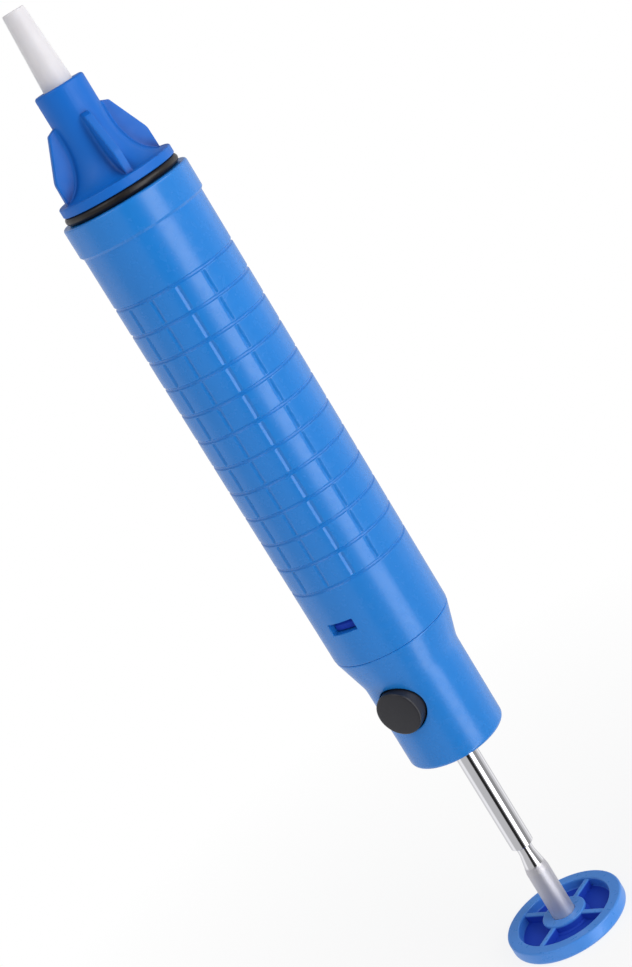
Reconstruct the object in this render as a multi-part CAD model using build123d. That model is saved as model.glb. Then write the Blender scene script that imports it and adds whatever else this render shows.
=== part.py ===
"""Desoldering pump, standing on its plunger knob with the nozzle up.

Millimetres. +Z runs along the tool's axis from the knob to the nozzle, the origin is the centre
of the knob's outer face, and the push button faces -Y. The plunger is modelled released.
"""
from build123d import *
import os

# ---- heights along the axis ----
KNOB_TOP = 3.0              # rim of the knob
SATIN_TOP = 13.6            # plain end of the rod, where the cam cone starts
NECK_BOTTOM = 17.8          # latch neck of the rod
NECK_TOP = 19.8
HOUSING_END = 45.2          # rear face of the rear housing
BUTTON_Z = 59.0             # axis of the push button
TAPER_BOTTOM = 63.4         # the neck starts to widen
SEAM = 71.0                 # rear housing meets barrel
WINDOW_Z = 79.1             # snap windows
SPIGOT_TOP = 84.0           # front end of the rear housing's spigot
GRIP_BOTTOM = 87.1          # grip pattern
GRIP_TOP = 148.2
COLLAR_BOTTOM = 158.5       # front collar of the barrel
BARREL_TOP = 164.6
FLANGE_BOTTOM = 166.3       # nose flange
FLANGE_TOP = 168.0
FLARE_TOP = 177.3           # the concave flare runs into the straight collar
NOSE_TOP = 186.1
NOZZLE_TIP = 200.5

# ---- outside radii ----
KNOB_R = 12.35
ROD_R = 2.35
NECK_R = 1.6
HOUSING_NECK_R = 9.85
SEAM_R = 11.9
BARREL_R = 12.0
COLLAR_R = 12.45
FLANGE_R = 11.2
FLARE_SPREAD = 5.8          # how far the flare widens beyond the collar
NOSE_R = 4.8
NOZZLE_BASE_R = 2.85
NOZZLE_TIP_R = 2.1

# ---- knob ----
KNOB_FLOOR = 1.0
KNOB_RECESS_R = 9.85
KNOB_HUB_R = 4.6
KNOB_RIB = 1.1
KNOB_RIB_TURN = -8.5        # first rib, degrees from +X
RIB_COUNT = 4
ROD_SEAT = 0.5              # the rod's end inside the knob

# ---- piston and the hardware on the rod ----
PISTON_BACK = 87.6          # rear face of the piston
PISTON_SHOULDER = 93.6      # front face that carries the spring
PISTON_FRONT = 97.6         # front of the boss inside the spring
BORE_R = 10.1               # barrel bore
PISTON_R = 9.7
PISTON_BOSS_R = 7.6
SEAL_R = 10.04              # outside of the piston's O-ring
SEAL_WIRE_R = 1.0
SEAL_GROOVE = 2.4           # width of its groove
SEAL_Z = 90.6
THREAD_R = 1.5
WASHER = 0.8                # thickness of both washers
BACK_WASHER_R = 5.0
FRONT_WASHER_R = 3.6
NUT_HEIGHT = 2.4
NUT_FLATS = 5.5
ROD_TOP = PISTON_FRONT + WASHER + NUT_HEIGHT + 0.8
PIN_R = 0.65
PIN_TIP = 161.4
PIN_DEPTH = 6.0             # length of the pin pressed into the rod

# ---- main spring ----
SPRING_SEAT = 153.9         # rear end of the nose plug
SPRING_R = 8.9              # mean radius
SPRING_WIRE_R = 0.5
SPRING_TURNS = 13

# ---- nose ----
PLUG_R = 9.95
PLUG_BORE_R = 8.2
FUNNEL_BOTTOM = 166.2       # the plug's hollow narrows towards the nozzle
FUNNEL_TOP = 171.9
O_RING_WIRE_R = 0.85
O_RING_R = 10.5            # mean radius
SOCKET_R = 2.95             # hole for the nozzle in the collar
NOZZLE_BORE_R = 1.3
NOZZLE_MOUTH_R = 2.5        # countersink at the nozzle's inner end
NOZZLE_FLANGE_R = 3.8
NOZZLE_SHOULDER = 179.1     # step that the nozzle's flange rests against
NOZZLE_BACK = 176.7
FIN_COUNT = 4
FIN_THICK = 1.5
FIN_TURN = -35.3            # first fin, degrees from +X
FIN_TOP = 179.7
FIN_TOP_R = 6.3
FIN_SHOULDER = 172.2
FIN_R = 9.75

# ---- grip pattern ----
GRIP_ROWS = 11
GROOVE_DEPTH = 0.22
GROOVE_WIDTH = 0.45
GRIP_COLUMNS_AT = (-38.1, -12.7, 12.7, 38.1)    # lengthwise grooves, degrees from the panel's middle
GRIP_PANEL_AT = (-66.5, 113.5)                  # middles of the two panels, degrees from +X

# ---- rear housing ----
WALL_IN_R = 8.1             # inside of the neck
SPIGOT_R = 10.05
SPIGOT_BORE_R = 8.3
CORE_R = 6.3                # core that guides rod and latch plate
CORE_TOP = 65.2
CORE_RIB = 1.3
REAR_WALL = 2.0
ROD_HOLE_R = 2.43
BOSS_WALL = 1.2             # wall of the button's and the spring's tubes
WINDOW_WIDTH = 5.6
WINDOW_HEIGHT = 2.3
LUG_R = 10.7
LUG_GAP = 0.2
BUFFER_BORE_R = 3.2
BUFFER_SLEEVE = 3.0         # length of the buffer inside the spigot

# ---- push button and latch ----
BUTTON_R = 4.5
BUTTON_BORE_R = 4.7
BUTTON_FACE = 11.35         # face of the button, from the axis
BUTTON_BACK = 7.0
PRESS = 1.8                 # travel of the button
PRESS_SPARE = 0.3           # room left behind the button and the plate at full press
PLATE_THICK = 1.5
PLATE_WIDTH = 8.0
PLATE_TONGUE = 7.0          # width of the plate's end inside the button
PLATE_END = 4.4
PLATE_SLOT = 1.4            # depth of the plate's slot in the button
PLATE_GAP = 0.15            # play of the plate in the housing's core
PLATE_HOLE_R = 2.5
PLATE_HOLE_AT = -0.05       # centre of the hole's latching end
NIB_LENGTH = 1.0
NIB_WIDTH = 2.0
POCKET_R = 2.3
POCKET_END = 8.3
TRIGGER_SPRING_R = 1.65
TRIGGER_WIRE_R = 0.2
TRIGGER_TURNS = 4


def turned(outline, rounds=None):
    """Solid of revolution from (radius, height) corners; rounds maps a corner to its fillet."""
    face = make_face(Polyline(*outline, close=True))
    for corner, radius in (rounds or {}).items():
        x, y = outline[corner]
        vertex = face.vertices().sort_by_distance((x, y, 0))[0]
        face = fillet(vertex, radius)
    return revolve(Plane.XZ * face, Axis.Z)


def disc(radius, bottom, top):
    """Cylinder about Z."""
    rising = (Align.CENTER, Align.CENTER, Align.MIN)
    return Pos(0, 0, bottom) * Cylinder(radius, top - bottom, align=rising)


def block(x, y, z):
    """Box from three (low, high) pairs."""
    size = [pair[1] - pair[0] for pair in (x, y, z)]
    middle = [(pair[1] + pair[0]) / 2 for pair in (x, y, z)]
    return Pos(*middle) * Box(*size)


def across(radius, start, end, height):
    """Cylinder along Y from start to end at the given height."""
    return Pos(0, (start + end) / 2, height) * (Rot(90, 0, 0) * Cylinder(radius, end - start))


def ring(mean, wire, height):
    """O-ring about Z."""
    return Pos(0, 0, height) * Torus(mean, wire)


def coil(mean, wire, length, turns):
    """Round-wire helix along Z whose ends lie at 0 and length."""
    run = length - 2 * wire
    path = Helix(pitch=run / turns, height=run, radius=mean)
    section = Plane(origin=path @ 0, z_dir=path % 0) * Circle(wire)
    return Pos(0, 0, wire) * sweep(section, path, is_frenet=True)


def plunger_knob():
    outline = [
        (0, 0), (KNOB_R, 0), (KNOB_R, KNOB_TOP), (KNOB_RECESS_R, KNOB_TOP),
        (KNOB_RECESS_R, KNOB_FLOOR), (KNOB_HUB_R, KNOB_FLOOR), (KNOB_HUB_R, KNOB_TOP), (0, KNOB_TOP),
    ]
    knob = turned(outline, {1: 1.0, 2: 0.4, 3: 0.25, 4: 0.3, 6: 0.25})
    reach = (KNOB_HUB_R - 0.6, KNOB_RECESS_R + 0.6)
    rib = block(reach, (-KNOB_RIB / 2, KNOB_RIB / 2), (KNOB_FLOOR - 0.6, KNOB_TOP - 0.25))
    for turn in range(RIB_COUNT):
        knob += Rot(0, 0, KNOB_RIB_TURN + 360 / RIB_COUNT * turn) * rib
    return knob - disc(ROD_R, ROD_SEAT, KNOB_TOP + 1)


def plunger_rod():
    shoulder = PISTON_BACK - WASHER
    outline = [
        (0, ROD_SEAT), (ROD_R, ROD_SEAT), (ROD_R, SATIN_TOP), (NECK_R, NECK_BOTTOM), (NECK_R, NECK_TOP),
        (ROD_R, NECK_TOP), (ROD_R, shoulder), (THREAD_R, shoulder), (THREAD_R, ROD_TOP), (0, ROD_TOP),
    ]
    rod = turned(outline, {1: 0.3, 2: 1.5, 3: 0.8, 5: 0.12, 8: 0.25})
    return rod - disc(PIN_R, ROD_TOP - PIN_DEPTH, ROD_TOP + 1)


def cleaning_pin():
    bottom = ROD_TOP - PIN_DEPTH
    return turned([(0, bottom), (PIN_R, bottom), (PIN_R, PIN_TIP), (0, PIN_TIP)], {2: 0.3})


def piston():
    outline = [
        (THREAD_R, PISTON_BACK), (PISTON_R, PISTON_BACK), (PISTON_R, PISTON_SHOULDER),
        (PISTON_BOSS_R, PISTON_SHOULDER), (PISTON_BOSS_R, PISTON_FRONT), (THREAD_R, PISTON_FRONT),
    ]
    body = turned(outline, {1: 0.4, 2: 0.4, 4: 0.6})
    groove = disc(PISTON_R + 1, SEAL_Z - SEAL_GROOVE / 2, SEAL_Z + SEAL_GROOVE / 2)
    groove -= disc(SEAL_R - 2 * SEAL_WIRE_R, SEAL_Z - SEAL_GROOVE, SEAL_Z + SEAL_GROOVE)
    return body - groove


def piston_o_ring():
    return ring(SEAL_R - SEAL_WIRE_R, SEAL_WIRE_R, SEAL_Z)


def washer(radius, bottom):
    return disc(radius, bottom, bottom + WASHER) - disc(THREAD_R, bottom - 1, bottom + WASHER + 1)


def piston_back_washer():
    return washer(BACK_WASHER_R, PISTON_BACK - WASHER)


def piston_front_washer():
    return washer(FRONT_WASHER_R, PISTON_FRONT)


def piston_nut():
    bottom = PISTON_FRONT + WASHER
    half = NUT_FLATS / 2
    bevel = 0.3
    hexagon = extrude(RegularPolygon(half, 6, major_radius=False), NUT_HEIGHT)
    bevelled = turned([
        (0, 0), (half, 0), (half + 0.5, bevel), (half + 0.5, NUT_HEIGHT - bevel),
        (half, NUT_HEIGHT), (0, NUT_HEIGHT),
    ])
    return Pos(0, 0, bottom) * (hexagon & bevelled - disc(THREAD_R, -1, NUT_HEIGHT + 1))


def main_spring():
    length = SPRING_SEAT - PISTON_SHOULDER
    return Pos(0, 0, PISTON_SHOULDER) * coil(SPRING_R, SPRING_WIRE_R, length, SPRING_TURNS)


def grip_grooves():
    """Rings and lengthwise cuts that leave the raised grip pads."""
    pitch = (GRIP_TOP - GRIP_BOTTOM) / GRIP_ROWS
    floor = BARREL_R - GROOVE_DEPTH
    half = GROOVE_WIDTH / 2
    hoop = disc(BARREL_R + 1, -half, half) - disc(floor, -GROOVE_WIDTH, GROOVE_WIDTH)
    cuts = [Pos(0, 0, GRIP_BOTTOM + pitch * row) * hoop for row in range(GRIP_ROWS + 1)]
    strip = block((floor, BARREL_R + 1), (-half, half), (GRIP_BOTTOM, GRIP_TOP))
    for panel in GRIP_PANEL_AT:
        cuts += [Rot(0, 0, panel + column) * strip for column in GRIP_COLUMNS_AT]
    return cuts


def barrel():
    outline = [
        (BORE_R, SEAM), (BARREL_R, SEAM), (BARREL_R, COLLAR_BOTTOM),
        (COLLAR_R, COLLAR_BOTTOM), (COLLAR_R, BARREL_TOP), (BORE_R, BARREL_TOP),
    ]
    tube = turned(outline, {1: 0.35, 3: 0.35, 4: 0.45, 5: 0.3})
    tube -= grip_grooves()
    low = WINDOW_Z - WINDOW_HEIGHT / 2
    through = (-BARREL_R - 1, BARREL_R + 1)
    return tube - block((-WINDOW_WIDTH / 2, WINDOW_WIDTH / 2), through, (low, low + WINDOW_HEIGHT))


def rear_housing_shell():
    outline = [
        (0, HOUSING_END), (HOUSING_NECK_R, HOUSING_END), (HOUSING_NECK_R, TAPER_BOTTOM),
        (SEAM_R, SEAM), (SPIGOT_R, SEAM), (SPIGOT_R, SPIGOT_TOP), (SPIGOT_BORE_R, SPIGOT_TOP),
        (SPIGOT_BORE_R, CORE_TOP + 1.8), (WALL_IN_R, CORE_TOP + 0.6),
        (WALL_IN_R, HOUSING_END + REAR_WALL), (0, HOUSING_END + REAR_WALL),
    ]
    return turned(outline, {1: 1.1, 2: 5.0, 5: 0.4})


def snap_lug(side):
    """Ramped lug on the spigot that snaps into a barrel window."""
    low = WINDOW_Z - WINDOW_HEIGHT / 2 + LUG_GAP
    high = WINDOW_Z + WINDOW_HEIGHT / 2 - LUG_GAP
    half = WINDOW_WIDTH / 2 - LUG_GAP
    root = SPIGOT_R - 0.6
    ramp = 0.8
    outline = Polyline(
        (root, low), (LUG_R, low), (LUG_R, high - ramp), (LUG_R - ramp, high), (root, high), close=True
    )
    lug = extrude(Plane.XZ * make_face(outline), half, both=True)
    return Rot(0, 0, 90 * side) * lug


def rear_housing():
    body = rear_housing_shell()
    base = HOUSING_END + REAR_WALL / 2
    body += disc(CORE_R, base, CORE_TOP)
    rib = block((CORE_R - 1, WALL_IN_R + 0.6), (-CORE_RIB / 2, CORE_RIB / 2), (base, CORE_TOP - 1))
    for turn in range(RIB_COUNT):
        body += Rot(0, 0, 45 + 360 / RIB_COUNT * turn) * rib
    inside = disc(WALL_IN_R + 0.8, base, CORE_TOP)
    body += across(BUTTON_BORE_R + BOSS_WALL, -WALL_IN_R - 0.8, 0, BUTTON_Z) & inside
    body += across(POCKET_R + BOSS_WALL, 0, WALL_IN_R + 0.8, BUTTON_Z) & inside
    body -= across(BUTTON_BORE_R, -BARREL_R, -BUTTON_BACK + PRESS + PRESS_SPARE, BUTTON_Z)
    body -= across(POCKET_R, 0, POCKET_END, BUTTON_Z)
    half = PLATE_WIDTH / 2 + PLATE_GAP
    low = BUTTON_Z - PLATE_THICK / 2 - PLATE_GAP
    high = BUTTON_Z + PLATE_THICK / 2 + PLATE_GAP
    body -= block((-half, half), (-BUTTON_BACK, PLATE_END + PRESS + PRESS_SPARE), (low, high))
    body -= disc(ROD_HOLE_R, HOUSING_END - 1, CORE_TOP + 1)
    return body + snap_lug(-1) + snap_lug(1)


def stop_buffer():
    bottom = SPIGOT_TOP - BUFFER_SLEEVE
    top = PISTON_BACK - WASHER - 0.1
    sleeve = SPIGOT_BORE_R - 0.05
    rim = PISTON_R - 0.2
    outline = [
        (BUFFER_BORE_R, bottom), (sleeve, bottom), (sleeve, SPIGOT_TOP),
        (rim, SPIGOT_TOP), (rim, top), (BUFFER_BORE_R, top),
    ]
    return turned(outline, {1: 0.4, 4: 0.6, 5: 0.4})


def trigger_button():
    cap = across(BUTTON_R, -BUTTON_FACE, -BUTTON_BACK, BUTTON_Z)
    face_edge = cap.edges().filter_by(GeomType.CIRCLE).sort_by(Axis.Y)[0]
    cap = fillet(face_edge, 0.4)
    thick = (BUTTON_Z - PLATE_THICK / 2, BUTTON_Z + PLATE_THICK / 2)
    half = PLATE_TONGUE / 2
    return cap - block((-half, half), (-BUTTON_BACK - PLATE_SLOT, -BUTTON_BACK + 1), thick)


def latch_plate():
    half = PLATE_WIDTH / 2
    tongue = PLATE_TONGUE / 2
    nib = NIB_WIDTH / 2
    thick = (BUTTON_Z - PLATE_THICK / 2, BUTTON_Z + PLATE_THICK / 2)
    plate = block((-half, half), (-BUTTON_BACK, PLATE_END), thick)
    plate = fillet(plate.edges().filter_by(Axis.Z).sort_by(Axis.Y)[-2:], 1.2)
    plate += block((-tongue, tongue), (-BUTTON_BACK - PLATE_SLOT, -BUTTON_BACK + 0.5), thick)
    plate += block((-nib, nib), (PLATE_END - 0.5, PLATE_END + NIB_LENGTH), thick)
    back = PLATE_HOLE_AT - PRESS - 0.2
    hole = Pos(0, PLATE_HOLE_AT, 0) * disc(PLATE_HOLE_R, thick[0] - 1, thick[1] + 1)
    hole += Pos(0, back, 0) * disc(PLATE_HOLE_R, thick[0] - 1, thick[1] + 1)
    hole += block((-PLATE_HOLE_R, PLATE_HOLE_R), (back, PLATE_HOLE_AT), (thick[0] - 1, thick[1] + 1))
    return plate - hole


def trigger_spring():
    spring = coil(TRIGGER_SPRING_R, TRIGGER_WIRE_R, POCKET_END - PLATE_END, TRIGGER_TURNS)
    return Pos(0, PLATE_END, BUTTON_Z) * (Rot(-90, 0, 0) * spring)


def nose_outline():
    """Half section of the nose; a concave quarter ellipse joins the flange to the collar."""
    groove = O_RING_R - O_RING_WIRE_R
    pocket = NOZZLE_FLANGE_R + 0.03
    lower = Polyline(
        (PLUG_BORE_R, SPRING_SEAT), (PLUG_R, SPRING_SEAT), (PLUG_R, BARREL_TOP), (groove, BARREL_TOP),
        (groove, FLANGE_BOTTOM), (FLANGE_R, FLANGE_BOTTOM), (FLANGE_R, FLANGE_TOP),
        (NOSE_R + FLARE_SPREAD, FLANGE_TOP),
    )
    centre = (NOSE_R + FLARE_SPREAD, FLARE_TOP)
    flare = EllipticalCenterArc(centre, FLARE_SPREAD, FLARE_TOP - FLANGE_TOP, 180, arc_size=90)
    upper = Polyline(
        (NOSE_R, FLARE_TOP), (NOSE_R, NOSE_TOP), (SOCKET_R, NOSE_TOP), (SOCKET_R, NOZZLE_SHOULDER),
        (pocket, NOZZLE_SHOULDER), (pocket, FUNNEL_TOP),
        (PLUG_BORE_R, FUNNEL_BOTTOM), (PLUG_BORE_R, SPRING_SEAT),
    )
    return lower + flare + upper


def fin():
    """One finger fin, in the XZ half plane."""
    root = NOSE_R - 0.5
    foot = FLANGE_TOP - 0.4
    outline = Polyline(
        (root, FIN_TOP + 0.5), (NOSE_R + 0.2, FIN_TOP + 0.5), (FIN_TOP_R, FIN_TOP), (FIN_R, FIN_SHOULDER),
        (FIN_R + 0.15, foot), (root + 3.2, foot), (root + 1.8, foot + 1.9), (root, FUNNEL_TOP + 0.5),
        close=True,
    )
    face = make_face(outline)
    for x, y, radius in ((FIN_TOP_R, FIN_TOP, 0.6), (FIN_R, FIN_SHOULDER, 2.4)):
        face = fillet(face.vertices().sort_by_distance((x, y, 0))[0], radius)
    return extrude(Plane.XZ * face, FIN_THICK / 2, both=True)


def nose_cone():
    cone = revolve(Plane.XZ * make_face(nose_outline()), Axis.Z)
    cone += [Rot(0, 0, FIN_TURN + 360 / FIN_COUNT * turn) * fin() for turn in range(FIN_COUNT)]
    rim = cone.edges().filter_by(GeomType.CIRCLE).group_by(Axis.Z)[-1].sort_by(SortBy.RADIUS)[-1]
    return fillet(rim, 0.5)


def nose_o_ring():
    return ring(O_RING_R, O_RING_WIRE_R, (BARREL_TOP + FLANGE_BOTTOM) / 2)


def nozzle():
    outline = [
        (NOZZLE_MOUTH_R, NOZZLE_BACK), (NOZZLE_FLANGE_R, NOZZLE_BACK), (NOZZLE_FLANGE_R, NOZZLE_SHOULDER),
        (NOZZLE_BASE_R, NOZZLE_SHOULDER), (NOZZLE_BASE_R, NOSE_TOP), (NOZZLE_TIP_R, NOZZLE_TIP),
        (NOZZLE_BORE_R, NOZZLE_TIP), (NOZZLE_BORE_R, NOZZLE_SHOULDER),
    ]
    return turned(outline, {1: 0.3, 2: 0.2, 5: 0.2, 6: 0.15})


PARTS = [
    plunger_knob, plunger_rod, cleaning_pin, piston, piston_o_ring, piston_back_washer,
    piston_front_washer, piston_nut, main_spring, barrel, rear_housing, stop_buffer,
    trigger_button, latch_plate, trigger_spring, nose_cone, nose_o_ring, nozzle,
]

os.makedirs("parts", exist_ok=True)
for part in PARTS:
    export_step(part(), f"parts/{part.__name__}.step")
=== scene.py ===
"""Looks of the desoldering pump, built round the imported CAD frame.

Lengths in this file are millimetres in the frame's axes (+Z from the knob to the nozzle, button
at -Y) and are turned into metres where a mesh is made. Heights and radii of each piece come from
the frame's boxes; what a box can't say, such as a groove's width, is a named value.
"""

import math

import bmesh
import bpy
from mathutils import Matrix, Vector


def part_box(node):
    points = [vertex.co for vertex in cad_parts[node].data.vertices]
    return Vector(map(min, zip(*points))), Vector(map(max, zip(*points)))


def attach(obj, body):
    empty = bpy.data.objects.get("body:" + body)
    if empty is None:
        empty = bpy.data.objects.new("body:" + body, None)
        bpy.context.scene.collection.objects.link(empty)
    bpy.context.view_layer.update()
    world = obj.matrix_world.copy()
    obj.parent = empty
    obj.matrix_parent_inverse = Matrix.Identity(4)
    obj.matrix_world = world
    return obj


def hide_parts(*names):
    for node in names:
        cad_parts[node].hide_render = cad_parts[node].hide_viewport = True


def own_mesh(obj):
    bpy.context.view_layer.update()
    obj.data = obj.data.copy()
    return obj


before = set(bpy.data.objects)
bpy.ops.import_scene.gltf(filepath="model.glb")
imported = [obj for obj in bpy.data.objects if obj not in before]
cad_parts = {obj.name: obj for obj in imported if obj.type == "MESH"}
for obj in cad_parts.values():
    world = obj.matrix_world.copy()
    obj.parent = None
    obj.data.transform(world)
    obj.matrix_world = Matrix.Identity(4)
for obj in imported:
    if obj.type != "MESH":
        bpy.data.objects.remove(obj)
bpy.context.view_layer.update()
MM = 0.001

AROUND = 192                 # segments of a full turn on visible pieces
ARC_STEP = math.radians(12)  # step along a rounded corner
CLEAR = 0.02                 # play between pieces whose CAD solids fit exactly


# -------- sizes read from the frame

def low(node):
    """Lowest height of a CAD node, mm."""
    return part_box(node)[0].z / MM


def high(node):
    """Greatest height of a CAD node, mm."""
    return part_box(node)[1].z / MM


def radius(node):
    """Largest radius of a node that is round about Z, mm."""
    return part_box(node)[1].x / MM


KNOB_TOP = high("plunger_knob")
KNOB_R = radius("plunger_knob")
ROD_R = radius("plunger_rod")
HOUSING_END = low("rear_housing")
SPIGOT_TOP = high("rear_housing")
SEAM = low("barrel")
SEAM_R = radius("rear_housing")
BARREL_TOP = high("barrel")
COLLAR_R = radius("barrel")
PLUG_END = low("nose_cone")
NOSE_TOP = high("nose_cone")
FLANGE_R = radius("nose_cone")
NOZZLE_TIP = high("nozzle")
NOZZLE_BACK = low("nozzle")
NOZZLE_FLANGE_R = radius("nozzle")
BUTTON_Z = (low("trigger_button") + high("trigger_button")) / 2
BUTTON_R = radius("trigger_button")
BUTTON_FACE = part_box("trigger_button")[0].y / MM
BUTTON_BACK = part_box("trigger_button")[1].y / MM

# camera, with azimuth 0 looking along +Y, and the roll of its top towards the picture's right
CAMERA_AZIMUTH = 38.35
CAMERA_DOWN = 15.05
CAMERA_ROLL = 31.38
CAMERA_DISTANCE = 376.8
CAMERA_LENS = 77.3
AIM = (1.75, 1.38, 102.13)

# light and floor
BACKGROUND = 1.0             # strength of the plain white behind everything
FLOOR_R = 600
FLOOR_FADE = (15, 160)       # distances over which the floor turns into the background's white
STUDIO_COLOUR = (0.98, 0.98, 1.0)
STUDIO_LEVEL = 0.32
DARKEST = 0.02               # least brightness of any direction, before TOP_SHADE
TOP_SHADE = 0.75             # how much darker the studio is straight above than at eye level
FLOOR_GLOW = 0.85            # share of the floor's white that is its own light at FLOOR_FADE's start
KEY_POWER = 1.8
FILL_POWER = 1.3
# direction from +X in degrees, half width, soft edge, brightness added
STUDIO_BANDS = (
    (-57, 8, 9, -0.6),
    (-17, 7, 13, 3.4),
    (-120, 45, 15, 0.24),
    (175, 35, 20, 0.42),
    (58, 14, 18, 0.35),
    (92, 16, 25, 0.4),
)

# knob
KNOB_FLOOR = 1.0
KNOB_RECESS_R = 9.85
KNOB_HUB_R = 4.6
KNOB_RIB = 1.1
KNOB_RIB_TURN = -8.5
KNOB_RIBS = 4

# rod
ROD_FOOT = low("plunger_rod")
SATIN_TOP = 13.6
NECK_R = 1.6
NECK_BOTTOM = 17.8
NECK_TOP = 19.8
THREAD_R = 1.5
THREAD_BOTTOM = low("piston_back_washer")

# rear housing
HOUSING_NECK_R = 9.85
HOUSING_ROUND = 1.1
TAPER_BOTTOM = 63.4
SPIGOT_R = 10.05
SPIGOT_BORE_R = 8.3
CORE_TOP = 65.2
ROD_HOLE_R = 2.43
BUTTON_BORE_R = 4.7
BUTTON_WELL = -4.9           # Y of the bottom of the button's bore
LUG_R = 10.7
LUG_GAP = 0.2
LUG_RAMP = 0.8
WALL_IN_R = 8.1
REAR_WALL = 2.0
CORE_R = 6.3
CORE_RIB = 1.3
BOSS_WALL = 1.2
POCKET_R = 2.3
POCKET_END = 8.3
PLATE_SLOT_HALF = (4.15, 0.9)  # half width and half height of the latch plate's slot
PLATE_SLOT_Y = (-6.9, 6.5)   # its reach along Y

# barrel
BARREL_R = 12.0
BORE_R = 10.1
COLLAR_BOTTOM = 158.5
WINDOW_Z = 79.1
WINDOW_WIDTH = 5.6
WINDOW_HEIGHT = 2.3
WINDOW_ROUND = 0.16          # rounding of a window's outer edges
GRIP_BOTTOM = 87.1
GRIP_TOP = 148.2
GRIP_ROWS = 11
HOOP_DEPTH = 0.26
HOOP_HALF = (0.42, 0.34, 0.27, 0.19, 0.1, 0.0)  # half widths of the hoop groove's section lines
SLOT_DEPTH = 0.24
SLOT_HALF = 0.5              # half width of a lengthwise groove, a shallow V
SLOT_LINES = (0.57, 0.5, 0.43, 0.07, 0.0)  # its section lines' distances from its middle
SLOT_END = (0.3, 0.65)       # distances from a hoop where a lengthwise groove ends and is full
GRIP_COLUMNS_AT = (-38.1, -12.7, 12.7, 38.1)  # angles of a panel's lengthwise grooves
GRIP_PANEL_AT = (-66.5, 113.5)  # angles of the two panels' middles
TURN_STEP = 2.2              # widest gap between the mesh's lengthwise lines, degrees
HEIGHT_STEP = 2.6            # widest gap between the mesh's hoops

# nose
PLUG_R = 9.95
PLUG_BORE_R = 8.2
O_RING_WIRE_R = (high("nose_o_ring") - low("nose_o_ring")) / 2
O_RING_R = radius("nose_o_ring") - O_RING_WIRE_R
FLANGE_BOTTOM = high("nose_o_ring")
FLANGE_TOP = 168.0
FLARE_TOP = 177.3
FLARE_SPREAD = 5.8
NOSE_R = 4.8
SOCKET_R = 2.95
FUNNEL_BOTTOM = 166.2
FUNNEL_TOP = 171.9
NOZZLE_SHOULDER = 179.1
NOZZLE_BASE_R = 2.85
NOZZLE_TIP_R = 2.1
NOZZLE_BORE_R = 1.3
NOZZLE_MOUTH_R = 2.5
FIN_COUNT = 4
FIN_HALF = 0.75
FIN_TURN = -35.3
FIN_TOP = 179.7
FIN_TOP_R = 6.3
FIN_SHOULDER = 172.2
FIN_R = 9.75

# springs
SPRING_R = 8.9
SPRING_WIRE_R = 0.5
SPRING_TURNS = 13
SPRING_SEAT = PLUG_END
SPRING_FOOT = low("main_spring")
SEAL_WIRE_R = 1.0
SEAL_HALF = 1.2              # half width of the seal's groove
PISTON_BOSS_R = 7.6
TRIGGER_SPRING_R = 1.65
TRIGGER_WIRE_R = 0.2
TRIGGER_TURNS = 4


# -------- mesh helpers

def polar(r, turn, z):
    """Point from a radius, an angle in degrees and a height."""
    return (r * math.cos(math.radians(turn)), r * math.sin(math.radians(turn)), z)


def rounded(outline):
    """Closed outline from (r, z) or (r, z, fillet) corners, with each fillet as a run of points."""
    points = []
    count = len(outline)
    for i, corner in enumerate(outline):
        here = Vector(corner[:2])
        fillet = corner[2] if len(corner) > 2 else 0
        if not fillet:
            points.append(tuple(here))
            continue
        back = (Vector(outline[i - 1][:2]) - here).normalized()
        ahead = (Vector(outline[(i + 1) % count][:2]) - here).normalized()
        half = back.angle(ahead) / 2
        reach = fillet / math.tan(half)
        start, end = here + back * reach, here + ahead * reach
        centre = here + (back + ahead).normalized() * fillet / math.sin(half)
        steps = max(2, math.ceil((math.pi - 2 * half) / ARC_STEP))
        first, last = start - centre, end - centre
        sweep = first.angle_signed(last)
        for step in range(steps + 1):
            turned = Matrix.Rotation(-sweep * step / steps, 2) @ first
            points.append(tuple(centre + turned))
    return points


def in_scene(name, data):
    """New object of a mesh, light or camera, in the scene."""
    obj = bpy.data.objects.new(name, data)
    bpy.context.scene.collection.objects.link(obj)
    return obj


def make_object(name, points, faces):
    """Mesh object from points in mm, with outward normals and smooth shading between sharp edges."""
    mesh = bpy.data.meshes.new(name)
    bm = bmesh.new()
    verts = [bm.verts.new(Vector(p) * MM) for p in points]
    for face in faces:
        try:
            bm.faces.new([verts[i] for i in face])
        except ValueError:
            continue
    bmesh.ops.remove_doubles(bm, verts=bm.verts, dist=1e-7)
    bmesh.ops.recalc_face_normals(bm, faces=bm.faces)
    bm.to_mesh(mesh)
    bm.free()
    return in_scene(name, mesh)


def shade(obj, angle=35):
    """Smooth shading, split at edges sharper than angle, with flat faces kept flat."""
    obj.data.shade_smooth()
    obj.data.set_sharp_from_angle(angle=math.radians(angle))
    weighted = obj.modifiers.new("flat faces stay flat", "WEIGHTED_NORMAL")
    weighted.keep_sharp = True
    return obj


def grid_faces(rows, columns, wrap_rows=False, wrap_columns=True):
    """Quads of a grid of rows x columns points, numbered row by row."""
    faces = []
    for i in range(rows if wrap_rows else rows - 1):
        for j in range(columns if wrap_columns else columns - 1):
            k = (j + 1) % columns
            n = (i + 1) % rows
            faces.append((i * columns + j, i * columns + k, n * columns + k, n * columns + j))
    return faces


def lathe(name, outline, around=AROUND):
    """Closed solid of revolution about Z from a closed outline."""
    profile = rounded(outline)
    turns = [360 * j / around for j in range(around)]
    points = [polar(r, turn, z) for r, z in profile for turn in turns]
    return make_object(name, points, grid_faces(len(profile), around, wrap_rows=True))


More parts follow.
